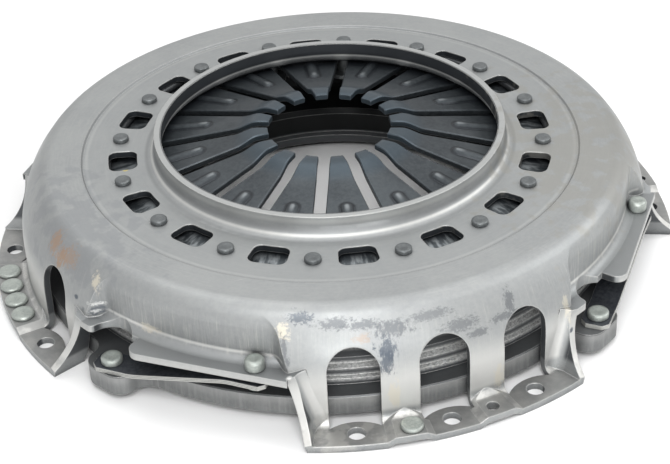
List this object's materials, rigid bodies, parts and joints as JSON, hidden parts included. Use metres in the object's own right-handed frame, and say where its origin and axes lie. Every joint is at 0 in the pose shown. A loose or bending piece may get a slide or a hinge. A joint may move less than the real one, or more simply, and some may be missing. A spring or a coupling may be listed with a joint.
{
  "type": "clutch cover assembly",
  "caption": "Push-type diaphragm-spring clutch cover with a pressure plate carried on tangential leaf straps, bolted by a lobed flange.",
  "frame": {"origin": "on the clutch axis, in the plane of the flange's mounting face", "axes": "+Z along the axis from the flywheel towards the release bearing; +X, +Y, -X and -Y through the middles of the four flange lobes, with the three-bolt lobes on +Y and -Y"},
  "size_m": [0.4562, 0.4564, 0.0882],
  "materials": {
    "cover_steel": "satin pressed steel, lightly oiled, with faint rust",
    "spring_steel": "dark heat-treated spring steel",
    "ring_wire": "drawn wire",
    "zinc_rivet": "pale zinc plate",
    "strap_steel": "rolled spring strip",
    "plate_iron": "cast, machined at the friction face, rim and bore"
  },
  "bodies": {
    "cover_side": {"cover": "cover_steel", "diaphragm_spring": "spring_steel", "upper_pivot_ring": "ring_wire", "lower_pivot_ring": "ring_wire", "pivot_rivets": "zinc_rivet", "strap_leaf_right_back_lower": "strap_steel", "strap_leaf_right_back_middle": "strap_steel", "strap_leaf_right_back_upper": "strap_steel", "strap_leaf_back_left_lower": "strap_steel", "strap_leaf_back_left_middle": "strap_steel", "strap_leaf_back_left_upper": "strap_steel", "strap_leaf_left_front_lower": "strap_steel", "strap_leaf_left_front_middle": "strap_steel", "strap_leaf_left_front_upper": "strap_steel", "strap_leaf_front_right_lower": "strap_steel", "strap_leaf_front_right_middle": "strap_steel", "strap_leaf_front_right_upper": "strap_steel", "ledge_strap_rivets": "zinc_rivet", "balance_rivets_left": "zinc_rivet", "balance_rivet_front": "zinc_rivet"},
    "plate_side": {"pressure_plate": "plate_iron", "lug_strap_rivets": "zinc_rivet"}
  },
  "joints": [
    {"name": "plate_lift", "type": "slide", "parent": "cover_side", "child": "plate_side", "axis": [0, 0, 1], "range_m": [0, 0.005], "deforming": ["diaphragm_spring", "strap_leaf_right_back_lower", "strap_leaf_right_back_middle", "strap_leaf_right_back_upper", "strap_leaf_back_left_lower", "strap_leaf_back_left_middle", "strap_leaf_back_left_upper", "strap_leaf_left_front_lower", "strap_leaf_left_front_middle", "strap_leaf_left_front_upper", "strap_leaf_front_right_lower", "strap_leaf_front_right_middle", "strap_leaf_front_right_upper"]}
  ]
}
